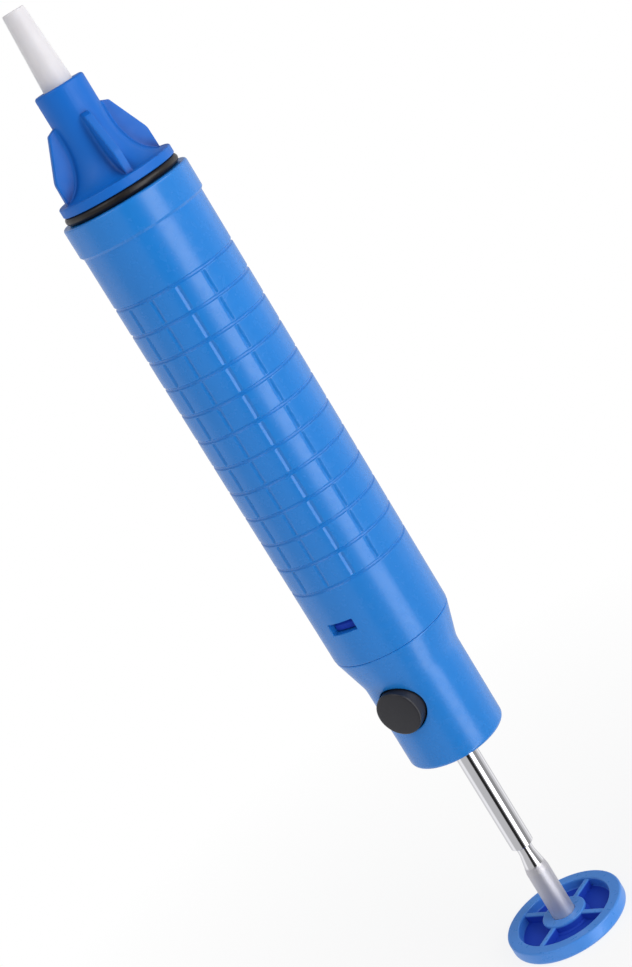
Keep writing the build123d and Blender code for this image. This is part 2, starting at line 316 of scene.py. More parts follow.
def tube_along(name, path, wire, sides=12):
    """Round wire along a path of points, with capped ends."""
    points = []
    count = len(path)
    for i in range(count):
        here = Vector(path[i])
        ahead = (Vector(path[min(i + 1, count - 1)]) - Vector(path[max(i - 1, 0)])).normalized()
        outward = Vector((here.x, here.y, 0)).normalized()
        side = ahead.cross(outward).normalized()
        outward = side.cross(ahead)
        for k in range(sides):
            turn = 2 * math.pi * k / sides
            points.append(tuple(here + outward * wire * math.cos(turn) + side * wire * math.sin(turn)))
    faces = grid_faces(count, sides)
    faces.append(tuple(range(sides)))
    faces.append(tuple((count - 1) * sides + k for k in range(sides)))
    return make_object(name, points, faces)


def join(name, parts):
    """One mesh object from several, each a closed shell."""
    bm = bmesh.new()
    for part in parts:
        part.data.transform(part.matrix_world)
        bm.from_mesh(part.data)
        bpy.data.objects.remove(part)
    mesh = bpy.data.meshes.new(name)
    bm.to_mesh(mesh)
    bm.free()
    return in_scene(name, mesh)


def soft_box(name, x, y, z, bevel):
    """Box from three (low, high) pairs with rounded edges."""
    corners = [(a, b, c) for a in x for b in y for c in z]
    faces = [(0, 1, 3, 2), (4, 6, 7, 5), (0, 4, 5, 1), (2, 3, 7, 6), (0, 2, 6, 4), (1, 5, 7, 3)]
    obj = make_object(name, corners, faces)
    bm = bmesh.new()
    bm.from_mesh(obj.data)
    bmesh.ops.bevel(bm, geom=bm.edges, offset=bevel * MM, segments=3, profile=0.5, affect="EDGES")
    bm.to_mesh(obj.data)
    bm.free()
    return obj


def ease(t):
    """Smooth step from 0 to 1."""
    t = min(1.0, max(0.0, t))
    return t * t * (3 - 2 * t)


def lines_between(start, end, step):
    """Evenly spaced values after start and before end."""
    count = max(1, round((end - start) / step))
    return [start + (end - start) * i / count for i in range(1, count)]


def filled(marks, step, wrap=None):
    """Sorted marks with evenly spaced values added in gaps wider than step."""
    marks = sorted(marks)
    out = []
    for i, mark in enumerate(marks):
        out.append(mark)
        after = marks[i + 1] if i + 1 < len(marks) else (marks[0] + wrap if wrap else None)
        if after is not None:
            out += lines_between(mark, after, step)
    return out


# -------- barrel

def hoop_heights():
    """Heights of the grooves that run round the barrel."""
    pitch = (GRIP_TOP - GRIP_BOTTOM) / GRIP_ROWS
    return [GRIP_BOTTOM + pitch * row for row in range(GRIP_ROWS + 1)]


def slot_turns():
    """Angles of the lengthwise grooves, 0 to 360."""
    return [(panel + column) % 360 for panel in GRIP_PANEL_AT for column in GRIP_COLUMNS_AT]


def groove(distance, half):
    """Share of a groove's depth at a distance from its middle."""
    return 1 - ease((abs(distance) - half[-2]) / (half[0] - half[-2]))


def barrel_radius(turn, z):
    """Radius of the barrel's side between its rear edge and the collar."""
    cut = HOOP_DEPTH * max(groove(z - height, HOOP_HALF) for height in hoop_heights())
    gap = min(abs(z - height) for height in hoop_heights())
    share = ease((gap - SLOT_END[0]) / (SLOT_END[1] - SLOT_END[0]))
    if GRIP_BOTTOM < z < GRIP_TOP and share > 0:
        for at in slot_turns():
            off = math.radians((turn - at + 180) % 360 - 180) * BARREL_R
            cut = max(cut, SLOT_DEPTH * share * (1 - abs(off) / SLOT_HALF))
    return BARREL_R - cut


WINDOW_HALF_TURN = math.degrees(math.asin(WINDOW_WIDTH / 2 / BARREL_R))
WINDOW_LOW = WINDOW_Z - WINDOW_HEIGHT / 2
WINDOW_HIGH = WINDOW_Z + WINDOW_HEIGHT / 2


def barrel_turns():
    """Angles of the mesh's lengthwise lines, closer at the grooves, with lines on the windows' ends."""
    ends = [side + sign * WINDOW_HALF_TURN for side in (90, 270) for sign in (-1, 1)]
    apart = 0.25
    marks = []
    for at in slot_turns():
        for half in SLOT_LINES:
            off = math.degrees(half / BARREL_R)
            marks += [(at - off) % 360, (at + off) % 360]
    marks = {round(m, 4) for m in marks if all(abs(m - end) > apart for end in ends)}
    return filled(list(marks) + ends, TURN_STEP, wrap=360)


def barrel_heights():
    """Heights of the mesh's hoops on the side, closer at the grooves."""
    steps = HOOP_HALF + (SLOT_END[0] + 0.02, sum(SLOT_END) / 2, SLOT_END[1])
    marks = {round(at + sign * step, 4) for at in hoop_heights() for step in steps for sign in (-1, 1)}
    ends = [SEAM + 0.6, WINDOW_LOW, WINDOW_HIGH, COLLAR_BOTTOM - 0.6]
    return filled(list(marks) + ends, HEIGHT_STEP)


def round_window_rims(obj):
    """Bevels the outer edges of the windows."""
    bm = bmesh.new()
    bm.from_mesh(obj.data)
    rims = []
    for edge in bm.edges:
        near = all(abs(v.co.z / MM - WINDOW_Z) < WINDOW_HEIGHT and v.co.xy.length / MM > BORE_R + 1
                   for v in edge.verts)
        if near and edge.calc_face_angle(0) > 1:
            rims.append(edge)
    bmesh.ops.bevel(bm, geom=rims, offset=WINDOW_ROUND * MM, segments=3, profile=0.5, affect="EDGES")
    bm.to_mesh(obj.data)
    bm.free()


def barrel():
    """Tube with the collar, the grip's grooves and a window on each side."""
    turns = barrel_turns()
    heights = barrel_heights()
    columns = len(turns)
    rear = rounded([
        (BORE_R, SEAM, 0.25), (BARREL_R, SEAM, 0.35), (BARREL_R, SEAM + 5), (BORE_R, SEAM + 5),
    ])
    front = rounded([
        (BARREL_R, COLLAR_BOTTOM - 0.5), (BARREL_R, COLLAR_BOTTOM, 0.12),
        (COLLAR_R, COLLAR_BOTTOM + 0.5, 0.3), (COLLAR_R, BARREL_TOP, 0.45), (BORE_R, BARREL_TOP, 0.3),
        (BORE_R, BARREL_TOP - 3),
    ])
    rows = [[polar(r, t, z) for t in turns] for r, z in rear[:-2]]
    # outer_low and inner_high: rows where the windows start, outside and on the bore
    outer_low = len(rows) + heights.index(WINDOW_LOW)
    rows += [[polar(barrel_radius(t, z), t, z) for t in turns] for z in heights]
    rows += [[polar(r, t, z) for t in turns] for r, z in front]
    inner_high = len(rows)
    rows += [[polar(BORE_R, t, z) for t in turns] for z in (WINDOW_HIGH, WINDOW_LOW)]

    def at(row, column):
        return row * columns + column

    cut = set()
    walls = []
    for side in (90, 270):
        first = turns.index(side - WINDOW_HALF_TURN)
        last = turns.index(side + WINDOW_HALF_TURN)
        for j in range(first, last):
            cut.add(at(outer_low, j))
            cut.add(at(inner_high, j))
            for outer, inner in ((outer_low, inner_high + 1), (outer_low + 1, inner_high)):
                walls.append((at(outer, j), at(outer, j + 1), at(inner, j + 1), at(inner, j)))
        for j in (first, last):
            corners = (outer_low, outer_low + 1, inner_high, inner_high + 1)
            walls.append(tuple(at(row, j) for row in corners))
    quads = grid_faces(len(rows), columns, wrap_rows=True)
    quads = [quad for number, quad in enumerate(quads) if number not in cut]
    tube = make_object("barrel_tube", [point for row in rows for point in row], quads + walls)
    round_window_rims(tube)
    return shade(tube)


# -------- rear housing

HOLE_STEPS = 5               # rings of quads between the button's hole and the square patch round it
PATCH_HALF = 6.2             # half height of that patch
PATCH_STEP = 0.7             # height of its rows
HOLE_ROUND = 0.25            # rounding of the hole's rim


def side_profile():
    """The housing's outer side as rounded (r, z) points from the rear face to the seam."""
    corners = [
        (ROD_HOLE_R + 1, HOUSING_END), (HOUSING_NECK_R, HOUSING_END, HOUSING_ROUND),
        (HOUSING_NECK_R, TAPER_BOTTOM, 5.0), (SEAM_R, SEAM - 0.3, 0.3), (SEAM_R, SEAM, 0.15),
        (SEAM_R - 1, SEAM),
    ]
    return rounded(corners)[1:-1]


def along(profile, z):
    """Radius at a height, by straight lines between the profile's points."""
    for (r0, z0), (r1, z1) in zip(profile, profile[1:]):
        if z0 <= z <= z1 and z1 > z0:
            return r0 + (r1 - r0) * (z - z0) / (z1 - z0)
    return profile[-1][0]


def rear_shell():
    """Outer wall with the button's round hole, as one closed shell with an open spigot."""
    profile = side_profile()
    low_edge, high_edge = BUTTON_Z - PATCH_HALF, BUTTON_Z + PATCH_HALF
    patch_heights = [low_edge] + lines_between(low_edge, high_edge, PATCH_STEP) + [high_edge]
    foot = [p for p in profile if p[1] < low_edge]
    crown = [p for p in profile if p[1] > high_edge]
    side = foot + [(along(profile, z), z) for z in patch_heights] + crown
    inside = [
        (SPIGOT_R, SEAM), (SPIGOT_R, SPIGOT_TOP - 0.3), (SPIGOT_R - 0.3, SPIGOT_TOP),
        (SPIGOT_BORE_R, SPIGOT_TOP), (SPIGOT_BORE_R, CORE_TOP + 1.8), (WALL_IN_R, CORE_TOP + 0.6),
    ]
    inner_side = [(WALL_IN_R, z) for z in reversed(patch_heights)]
    rear = [
        (WALL_IN_R, HOUSING_END + REAR_WALL), (ROD_HOLE_R, HOUSING_END + REAR_WALL),
        (ROD_HOLE_R, HOUSING_END + 0.25), (ROD_HOLE_R + 0.25, HOUSING_END), (HOUSING_NECK_R - 3, HOUSING_END),
    ]
    loop = side + inside + inner_side + rear
    points = [polar(r, 360 * j / AROUND, z) for r, z in loop for j in range(AROUND)]
    quads = grid_faces(len(loop), AROUND, wrap_rows=True)

    middle = AROUND * 3 // 4
    reach = math.floor(math.degrees(math.asin(PATCH_HALF / HOUSING_NECK_R)) / (360 / AROUND))
    left, right = middle - reach, middle + reach
    outer_first = len(foot)
    outer_last = outer_first + len(patch_heights) - 1
    inner_first = len(side) + len(inside)
    inner_last = inner_first + len(patch_heights) - 1

    def in_patch(number):
        row, column = divmod(number, AROUND)
        in_rows = outer_first <= row < outer_last or inner_first <= row < inner_last
        return in_rows and left <= column < right

    quads = [quad for number, quad in enumerate(quads) if not in_patch(number)]

    def border(bottom, top):
        """Numbers of the points round the patch, starting at its left bottom corner."""
        step = 1 if top > bottom else -1
        edge = [(bottom, j) for j in range(left, right)]
        edge += [(i, right) for i in range(bottom, top, step)]
        edge += [(top, j) for j in range(right, left, -1)]
        edge += [(i, left) for i in range(top, bottom, -step)]
        return [i * AROUND + j for i, j in edge]

    def on_wall(x, z, radius_at):
        return (x, -math.sqrt(radius_at(z) ** 2 - x * x), z)

    def ring(border_ids, share, hole, radius_at, sink=0.0):
        """Points on the wall from the hole (share 0) to the border (share 1), moved inward by sink."""
        start = len(points)
        for number in border_ids:
            x, _, z = points[number]
            turn = math.atan2(z - BUTTON_Z, x)
            rim = (hole * math.cos(turn), BUTTON_Z + hole * math.sin(turn))
            px = rim[0] + (x - rim[0]) * share
            pz = rim[1] + (z - rim[1]) * share
            place = on_wall(px, pz, radius_at)
            points.append((place[0], place[1] + sink, place[2]))
        return list(range(start, len(points)))

    def band(one, other):
        count = len(one)
        return [(one[k], one[(k + 1) % count], other[(k + 1) % count], other[k]) for k in range(count)]

    outer = border(outer_first, outer_last)
    inner = border(inner_last, inner_first)
    rings = [outer]
    for step in range(1, HOLE_STEPS + 1):
        share = 1 - step / HOLE_STEPS
        rings.append(ring(outer, share, BUTTON_BORE_R + HOLE_ROUND, lambda z: along(profile, z)))
    for angle in (30, 60, 90):
        turn = math.radians(angle)
        hole = BUTTON_BORE_R + HOLE_ROUND * (1 - math.sin(turn))
        sink = HOLE_ROUND * (1 - math.cos(turn))
        rings.append(ring(outer, 0, hole, lambda z: along(profile, z), sink))
    rings.append(ring(inner, 0, BUTTON_BORE_R, lambda z: WALL_IN_R))
    rings.append(inner)
    for one, other in zip(rings, rings[1:]):
        quads += band(one, other)
    return make_object("rear_housing_shell", points, quads)


def lay_along_y(obj, degrees=-90, y=0):
    """Turns a piece made along Z, about X, and moves it to y at the button's height."""
    turn = Matrix.Rotation(math.radians(degrees), 4, "X")
    obj.data.transform(Matrix.Translation((0, y * MM, BUTTON_Z * MM)) @ turn)
    return obj


def cylinder_y(name, r, start, end):
    """Cylinder along Y at the button's height."""
    return lay_along_y(lathe(name, [(0, start), (r, start), (r, end), (0, end)], around=64))


def combine(target, operation, tools):
    """Applies a boolean of each tool to target and removes the tools."""
    for tool in tools:
        step = target.modifiers.new(tool.name, "BOOLEAN")
        step.operation = operation
        step.object = tool
        step.solver = "EXACT"
    depsgraph = bpy.context.evaluated_depsgraph_get()
    result = bpy.data.meshes.new_from_object(target.evaluated_get(depsgraph))
    target.modifiers.clear()
    target.data = result
    for tool in tools:
        bpy.data.objects.remove(tool)
    return target


def rear_core():
    """Inside of the housing: the core that guides rod and plate, the button's tube and the ribs."""
    base = HOUSING_END + REAR_WALL - 0.4
    core = lathe("core", [(0, base), (CORE_R, base), (CORE_R, CORE_TOP), (0, CORE_TOP)], around=96)
    reach = WALL_IN_R + 0.5
    added = [
        cylinder_y("button_tube", BUTTON_BORE_R + BOSS_WALL, -reach, 0),
        cylinder_y("spring_tube", POCKET_R + BOSS_WALL, 0, reach),
    ]
    width = (-CORE_RIB / 2, CORE_RIB / 2)
    for number in range(4):
        rib = soft_box("rib", (CORE_R - 1, reach), width, (base, CORE_TOP - 1), 0.1)
        rib.data.transform(Matrix.Rotation(math.radians(45 + 90 * number), 4, "Z"))
        added.append(rib)
    combine(core, "UNION", added)
    limit = [(0, base - 1), (reach, base - 1), (reach, CORE_TOP + 1), (0, CORE_TOP + 1)]
    combine(core, "INTERSECT", [lathe("limit", limit, around=96)])
    hole = [(0, base - 2), (ROD_HOLE_R, base - 2), (ROD_HOLE_R, CORE_TOP + 2), (0, CORE_TOP + 2)]
    half, thick = PLATE_SLOT_HALF
    combine(core, "DIFFERENCE", [
        cylinder_y("button_bore", BUTTON_BORE_R, -reach - 2, BUTTON_WELL),
        cylinder_y("spring_pocket", POCKET_R, 0, POCKET_END),
        soft_box("plate_slot", (-half, half), PLATE_SLOT_Y, (BUTTON_Z - thick, BUTTON_Z + thick), 0.05),
        lathe("rod_hole", hole, around=96),
    ])
    return core


def snap_lug(side):
    """Ramped lug that shows in a window of the barrel; side is its angle."""
    low_z, high_z = WINDOW_LOW + LUG_GAP, WINDOW_HIGH - LUG_GAP
    half = math.radians(WINDOW_HALF_TURN) - LUG_GAP / BARREL_R
    profile = rounded([
        (SPIGOT_R - 0.4, low_z), (LUG_R, low_z, 0.12), (LUG_R, high_z - LUG_RAMP, 0.2),
        (LUG_R - LUG_RAMP, high_z, 0.12), (SPIGOT_R - 0.4, high_z),
    ])
    steps = 12
    turns = [side + math.degrees(half) * (2 * k / steps - 1) for k in range(steps + 1)]
    points = [polar(r, turn, z) for turn in turns for r, z in profile]
    count = len(profile)
    faces = grid_faces(len(turns), count)
    faces += [tuple(range(count)), tuple(steps * count + k for k in range(count))]
    return make_object("lug", points, faces)


def rear_housing():
    """Shell, core and the two snap lugs as one piece."""
    parts = [rear_shell(), rear_core(), snap_lug(90), snap_lug(270)]
    return shade(join("rear_housing_body", parts))


# -------- plunger

def knob():
    """Dished disc with a hub round the rod and ribs between hub and rim."""
    cup = lathe("cup", [
        (0, 0), (KNOB_R, 0, 1.0), (KNOB_R, KNOB_TOP, 0.4), (KNOB_RECESS_R, KNOB_TOP, 0.3),
        (KNOB_RECESS_R, KNOB_FLOOR, 0.3), (0, KNOB_FLOOR),
    ])
    bore = ROD_R + CLEAR
    hub = lathe("hub", [
        (bore, KNOB_FLOOR - 0.2), (KNOB_HUB_R + 0.3, KNOB_FLOOR - 0.2),
        (KNOB_HUB_R + 0.3, KNOB_FLOOR + 0.1), (KNOB_HUB_R, KNOB_FLOOR + 0.4),
        (KNOB_HUB_R, KNOB_TOP, 0.3), (bore, KNOB_TOP, 0.25),
    ])
    parts = [cup, hub]
    reach = (KNOB_HUB_R - 0.3, KNOB_RECESS_R + 0.3)
    width = (-KNOB_RIB / 2, KNOB_RIB / 2)
    height = (KNOB_FLOOR - 0.2, KNOB_TOP - 0.25)
    for number in range(KNOB_RIBS):
        rib = soft_box("rib", reach, width, height, 0.22)
        angle = math.radians(KNOB_RIB_TURN + 360 / KNOB_RIBS * number)
        rib.data.transform(Matrix.Rotation(angle, 4, "Z"))
        parts.append(rib)
    return shade(join("knob_body", parts))


def rod():
    """Rod with its satin foot, latch neck and thread."""
    return shade(lathe("rod_body", [
        (0, ROD_FOOT), (ROD_R, ROD_FOOT, 0.3), (ROD_R, SATIN_TOP, 1.5), (NECK_R, NECK_BOTTOM, 0.8),
        (NECK_R, NECK_TOP, 0.1), (ROD_R, NECK_TOP, 0.14), (ROD_R, THREAD_BOTTOM, 0.2),
        (THREAD_R, THREAD_BOTTOM), (THREAD_R, high("plunger_rod"), 0.25), (0, high("plunger_rod")),
    ], around=128))


def piston():
    """Piston body with the groove of its seal."""
    back, shoulder, front = low("piston"), SPRING_FOOT, high("piston")
    outer = radius("piston")
    groove_r = radius("piston_o_ring") - 2 * SEAL_WIRE_R
    middle = (low("piston_o_ring") + high("piston_o_ring")) / 2
    return shade(lathe("piston_body", [
        (THREAD_R, back), (outer, back, 0.4), (outer, middle - SEAL_HALF, 0.1),
        (groove_r, middle - SEAL_HALF), (groove_r, middle + SEAL_HALF), (outer, middle + SEAL_HALF, 0.1),
        (outer, shoulder, 0.4), (PISTON_BOSS_R, shoulder), (PISTON_BOSS_R, front, 0.6), (THREAD_R, front),
    ]))


def o_ring(name, node, wire):
    """Round ring that fills a node's box."""
    mean = radius(node) - wire
    middle = (low(node) + high(node)) / 2
    steps = 28
    turns = [math.tau * k / steps for k in range(steps)]
    section = [(mean + wire * math.cos(turn), middle + wire * math.sin(turn)) for turn in turns]
    return shade(lathe(name, section))


def washer(name, node):
    """Flat washer that fills a node's box."""
    outer = radius(node)
    return shade(lathe(name, [
        (THREAD_R, low(node)), (outer, low(node), 0.12), (outer, high(node), 0.12), (THREAD_R, high(node)),
    ], around=96))


def button():
    """Push button: a short cap whose face is a shallow dome."""
    depth = BUTTON_BACK - BUTTON_FACE
    dome = 0.14
    face = [(BUTTON_R * k / 8, depth - dome * (k / 8) ** 2) for k in range(7)]
    outline = [(0, 0), (BUTTON_R, 0), (BUTTON_R, depth - dome, 0.4)] + face[::-1]
    return shade(lay_along_y(lathe("button_cap", outline, around=128), 90, BUTTON_BACK))


# -------- springs

def coil(name, mean, wire, start, end, turns):
    """Compression spring along Z with closed ends: the end turns lie almost wire on wire."""
    closed = 1.0
    closed_pitch = 2.1 * wire
    run = end - start - 2 * wire
    open_turns = turns - 2 * closed
    pitch = (run - 2 * closed * closed_pitch) / open_turns
    per_turn = 48
    steps = turns * per_turn
    path = []
    for step in range(steps + 1):
        turn = turns * step / steps
        height = closed_pitch * min(turn, closed)
        height += pitch * min(max(turn - closed, 0), open_turns)
        height += closed_pitch * max(turn - closed - open_turns, 0)
        path.append(polar(mean, 360 * turn, start + wire + height))
    return tube_along(name, path, wire)


def main_spring():
    """Spring between the piston and the nose's plug."""
    spring = coil("main_spring_coil", SPRING_R, SPRING_WIRE_R, SPRING_FOOT, SPRING_SEAT, SPRING_TURNS)
    return shade(spring, 60)


def trigger_spring():
    """Spring behind the latch plate, along Y."""
    start, end = (corner.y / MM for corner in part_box("trigger_spring"))
    spring = coil("trigger_spring_coil", TRIGGER_SPRING_R, TRIGGER_WIRE_R, start, end, TRIGGER_TURNS)
    return shade(lay_along_y(spring), 60)


# -------- nose

FIN_CORNER = 0.28            # rounding of a fin's long edges
FIN_ROOT = 0.6               # fillet where a fin meets the flare
NOSE_STEP = 0.7              # widest gap between the mesh's rings
BETWEEN_FINS = 20            # mesh steps between two fins


def flare_radius(z):
    """Radius of the nose between the flange and the collar: a concave quarter ellipse."""
    if z >= FLARE_TOP:
        return NOSE_R
    share = (FLARE_TOP - z) / (FLARE_TOP - FLANGE_TOP)
    return NOSE_R + FLARE_SPREAD * (1 - math.sqrt(max(0.0, 1 - share * share)))


def fin_profile():
    """Outer edge of a fin as rounded (r, z) points, from the flange up."""
    return rounded([
        (0, FLANGE_TOP - 1), (FIN_R + 0.15, FLANGE_TOP - 1), (FIN_R, FIN_SHOULDER, 2.4),
        (FIN_TOP_R, FIN_TOP, 0.6), (NOSE_R - 0.5, FIN_TOP + 0.6), (0, FIN_TOP + 0.6),
    ])[1:-1]


def fin_section(body, fin):
    """Half section across a fin as (distance out, sideways) points.

    Where the fin is lower than the body, the section lies on the body.
    """
    root = math.sqrt(body * body - FIN_HALF * FIN_HALF)
    rise = max(0.0, fin - root)
    corner = min(FIN_CORNER, 0.35 * rise)
    fillet = min(FIN_ROOT, 0.5 * rise)
    top = root + rise
    points = [(top, (FIN_HALF - corner) * k / 2) for k in range(3)]
    for k in range(1, 5):
        turn = math.pi / 2 * k / 4
        points.append((top - corner * (1 - math.cos(turn)), FIN_HALF - corner * (1 - math.sin(turn))))
    side_end = root + fillet
    points += [(top - corner + (side_end - top + corner) * k / 4, FIN_HALF) for k in range(1, 5)]
    for k in range(1, 7):
        turn = math.pi / 2 * k / 6
        side = FIN_HALF + fillet * (1 - math.cos(turn)) + 0.02 * k
        out = math.sqrt(body * body - side * side)
        lift = fillet * (1 - math.sin(turn))
        points.append((out + lift * (1 - k / 6) if k < 6 else out, side))
    return [(max(out, math.sqrt(max(body * body - side * side, 0))), side) for out, side in points]


def nose_rows():
    """Heights of the mesh's rings on the flare and collar, with the fins' rounded corners among them."""
    steps = 22
    drop = FLARE_TOP - FLANGE_TOP
    heights = [FLARE_TOP - drop * math.cos(math.pi / 2 * k / steps) for k in range(1, steps + 1)]
    heights += [z for _, z in fin_profile() if FLANGE_TOP + 0.05 < z]
    return filled({round(z, 3) for z in heights} | {FIN_TOP + 0.7}, NOSE_STEP)


def nose_cone():
    """Plug, flange, flare with its fins, and collar, as rings of one surface."""
    profile = fin_profile()

    def ring_at(body, fin, z):
        """Ring of the body's radius with the four fins standing out to the fin's radius."""
        half = fin_section(body, fin)
        edge = math.degrees(math.atan2(half[-1][1], half[-1][0]))
        pitch = 360 / FIN_COUNT
        points = []
        for number in range(FIN_COUNT):
            middle = FIN_TURN + pitch * number
            for out, side in reversed(half):
                points.append(polar(math.hypot(out, side), middle - math.degrees(math.atan2(side, out)), z))
            for out, side in half[1:]:
                points.append(polar(math.hypot(out, side), middle + math.degrees(math.atan2(side, out)), z))
            for k in range(1, BETWEEN_FINS):
                points.append(polar(body, middle + edge + (pitch - 2 * edge) * k / BETWEEN_FINS, z))
        return points

    lower = rounded([
        (PLUG_BORE_R, PLUG_END, 0.2), (PLUG_R, PLUG_END, 0.3), (PLUG_R, BARREL_TOP),
        (O_RING_R - O_RING_WIRE_R, BARREL_TOP), (O_RING_R - O_RING_WIRE_R, FLANGE_BOTTOM),
        (FLANGE_R, FLANGE_BOTTOM, 0.2), (FLANGE_R, FLANGE_TOP, 0.3), (NOSE_R + FLARE_SPREAD, FLANGE_TOP),
    ])
    upper = rounded([
        (NOSE_R, NOSE_TOP - 2), (NOSE_R, NOSE_TOP, 0.5), (SOCKET_R, NOSE_TOP, 0.15),
        (SOCKET_R, NOZZLE_SHOULDER), (NOZZLE_FLANGE_R + CLEAR, NOZZLE_SHOULDER),
        (NOZZLE_FLANGE_R + CLEAR, FUNNEL_TOP), (PLUG_BORE_R, FUNNEL_BOTTOM), (PLUG_BORE_R, PLUG_END + 2),
    ])
    rows = [ring_at(r, 0, z) for r, z in lower]
    for z in nose_rows():
        rows.append(ring_at(flare_radius(z), along(profile, z) if z < FIN_TOP + 0.6 else 0, z))
    rows += [ring_at(r, 0, z) for r, z in upper]
    points = [point for row in rows for point in row]
    faces = grid_faces(len(rows), len(rows[0]), wrap_rows=True)
    return shade(make_object("nose_body", points, faces), 40)


def nozzle():
    """Tapered tube with its flange inside the nose."""
    return shade(lathe("nozzle_body", [
        (NOZZLE_MOUTH_R, NOZZLE_BACK), (NOZZLE_FLANGE_R, NOZZLE_BACK, 0.3),
        (NOZZLE_FLANGE_R, NOZZLE_SHOULDER, 0.2), (NOZZLE_BASE_R, NOZZLE_SHOULDER),
        (NOZZLE_BASE_R, NOSE_TOP), (NOZZLE_TIP_R, NOZZLE_TIP, 0.3), (NOZZLE_BORE_R, NOZZLE_TIP, 0.2),
        (NOZZLE_BORE_R, NOZZLE_SHOULDER),
    ], around=128))


# -------- materials

# two shades of each blue moulding, the knob's lighter and the nose's deeper than BLUE as painted light and
# painted shade, then the painted shade of hollows and inner corners, linear RGB
BLUE = ((0.011, 0.19, 0.6), (0.013, 0.21, 0.66))
# the knob's blue is BLUE made lighter, painted light
KNOB_LIT_BLUE = ((0.06, 0.26, 0.74), (0.066, 0.28, 0.8))
# the nose's blue is BLUE made deeper, painted shade
NOSE_SHADED_BLUE = ((0.002, 0.13, 0.54), (0.003, 0.145, 0.58))
# painted shade: the deeper blue painted into recesses, which are also rougher
HOLLOW_SHADE_BLUE = (0.0, 0.05, 0.5)
HOLLOW_ROUGH = 0.8
# painted shade in inner corners
CORNER_SHADE_BLUE = (0.0, 0.035, 0.24)
CORNER_SHADE_REACH = 3             # how far round an inner corner the painted shade reaches, mm
SATIN_LINE = 15.1            # height where the rod's polish starts, mm


class Nodes:
    """A material's node tree with short calls for the nodes used here."""

    def __init__(self, name):
        self.material = bpy.data.materials.new(name)
        self.material.use_nodes = True
        self.tree = self.material.node_tree
        self.shader = self.tree.nodes["Principled BSDF"]

    def add(self, kind, **values):
        node = self.tree.nodes.new(kind)
        for key, value in values.items():
            setattr(node, key, value)
        return node

    def link(self, out, into):
        self.tree.links.new(out, into)

    def place(self):
        """Position in metres in the object's own axes."""
        return self.add("ShaderNodeTexCoord").outputs["Object"]

    def noise(self, scale, detail=3.0, stretch=(1, 1, 1)):
        """Noise whose features are about 1/scale metres wide."""
        mapping = self.add("ShaderNodeMapping")
        mapping.inputs["Scale"].default_value = stretch
        self.link(self.place(), mapping.inputs["Vector"])
        noise = self.add("ShaderNodeTexNoise")
        noise.inputs["Scale"].default_value = scale
        noise.inputs["Detail"].default_value = detail
        self.link(mapping.outputs["Vector"], noise.inputs["Vector"])
        return noise.outputs["Fac"]

    def between(self, factor, low_value, high_value, start=0.3, end=0.7):
        """Factor from start..end spread over low_value..high_value."""
        spread = self.add("ShaderNodeMapRange")
        spread.inputs["From Min"].default_value = start
        spread.inputs["From Max"].default_value = end
        spread.inputs["To Min"].default_value = low_value
        spread.inputs["To Max"].default_value = high_value
        self.link(factor, spread.inputs["Value"])
        return spread.outputs["Result"]

    def blend(self, factor, one, other, kind="RGBA"):
        """From one to other: each an output, a linear RGB colour or, with kind FLOAT, a number."""
        mix = self.add("ShaderNodeMix", data_type=kind)
        self.link(factor, mix.inputs["Factor"])
        for name, value in (("A", one), ("B", other)):
            if isinstance(value, bpy.types.NodeSocket):
                self.link(value, mix.inputs[name])
            else:
                mix.inputs[name].default_value = (*value, 1) if kind == "RGBA" else value
        return mix.outputs["Result"]

    def corners(self, reach):
        """Painted-shade mask from ambient occlusion: 1 deep in the object's own inner corners, 0 on its open
        faces; reach in metres.
        """
        corner = self.add("ShaderNodeAmbientOcclusion", samples=16, only_local=True)
        corner.inputs["Distance"].default_value = reach
        return self.between(corner.outputs["AO"], 1, 0, 0.5, 0.9)

    def bump(self, height, strength, distance):
        """Fine relief; distance in metres."""
        bump = self.add("ShaderNodeBump")
        bump.inputs["Strength"].default_value = strength
        bump.inputs["Distance"].default_value = distance
        self.link(height, bump.inputs["Height"])
        self.link(bump.outputs["Normal"], self.shader.inputs["Normal"])

    def times(self, one, other):
        """Product of two outputs."""
        node = self.add("ShaderNodeMath", operation="MULTIPLY")
        self.link(one, node.inputs[0])
        self.link(other, node.inputs[1])
        return node.outputs["Value"]

    def sunk(self, outer, low_z, high_z):
        """1 within a radius of Z and between two heights (mm), else 0, with soft edges."""
        split = self.add("ShaderNodeSeparateXYZ")
        self.link(self.place(), split.inputs["Vector"])
        flat = self.add("ShaderNodeCombineXYZ")
        self.link(split.outputs["X"], flat.inputs["X"])
        self.link(split.outputs["Y"], flat.inputs["Y"])
        length = self.add("ShaderNodeVectorMath", operation="LENGTH")
        self.link(flat.outputs["Vector"], length.inputs[0])
        soft = 0.15
        inside = self.between(length.outputs["Value"], 1, 0, (outer - soft) * MM, (outer + soft) * MM)
        above = self.between(split.outputs["Z"], 0, 1, (low_z - soft) * MM, (low_z + soft) * MM)
        below = self.between(split.outputs["Z"], 1, 0, (high_z - soft) * MM, (high_z + soft) * MM)
        return self.times(self.times(inside, above), below)

    def into(self, out, name):
        self.link(out, self.shader.inputs[name])

    def fixed(self, name, value):
        self.shader.inputs[name].default_value = value


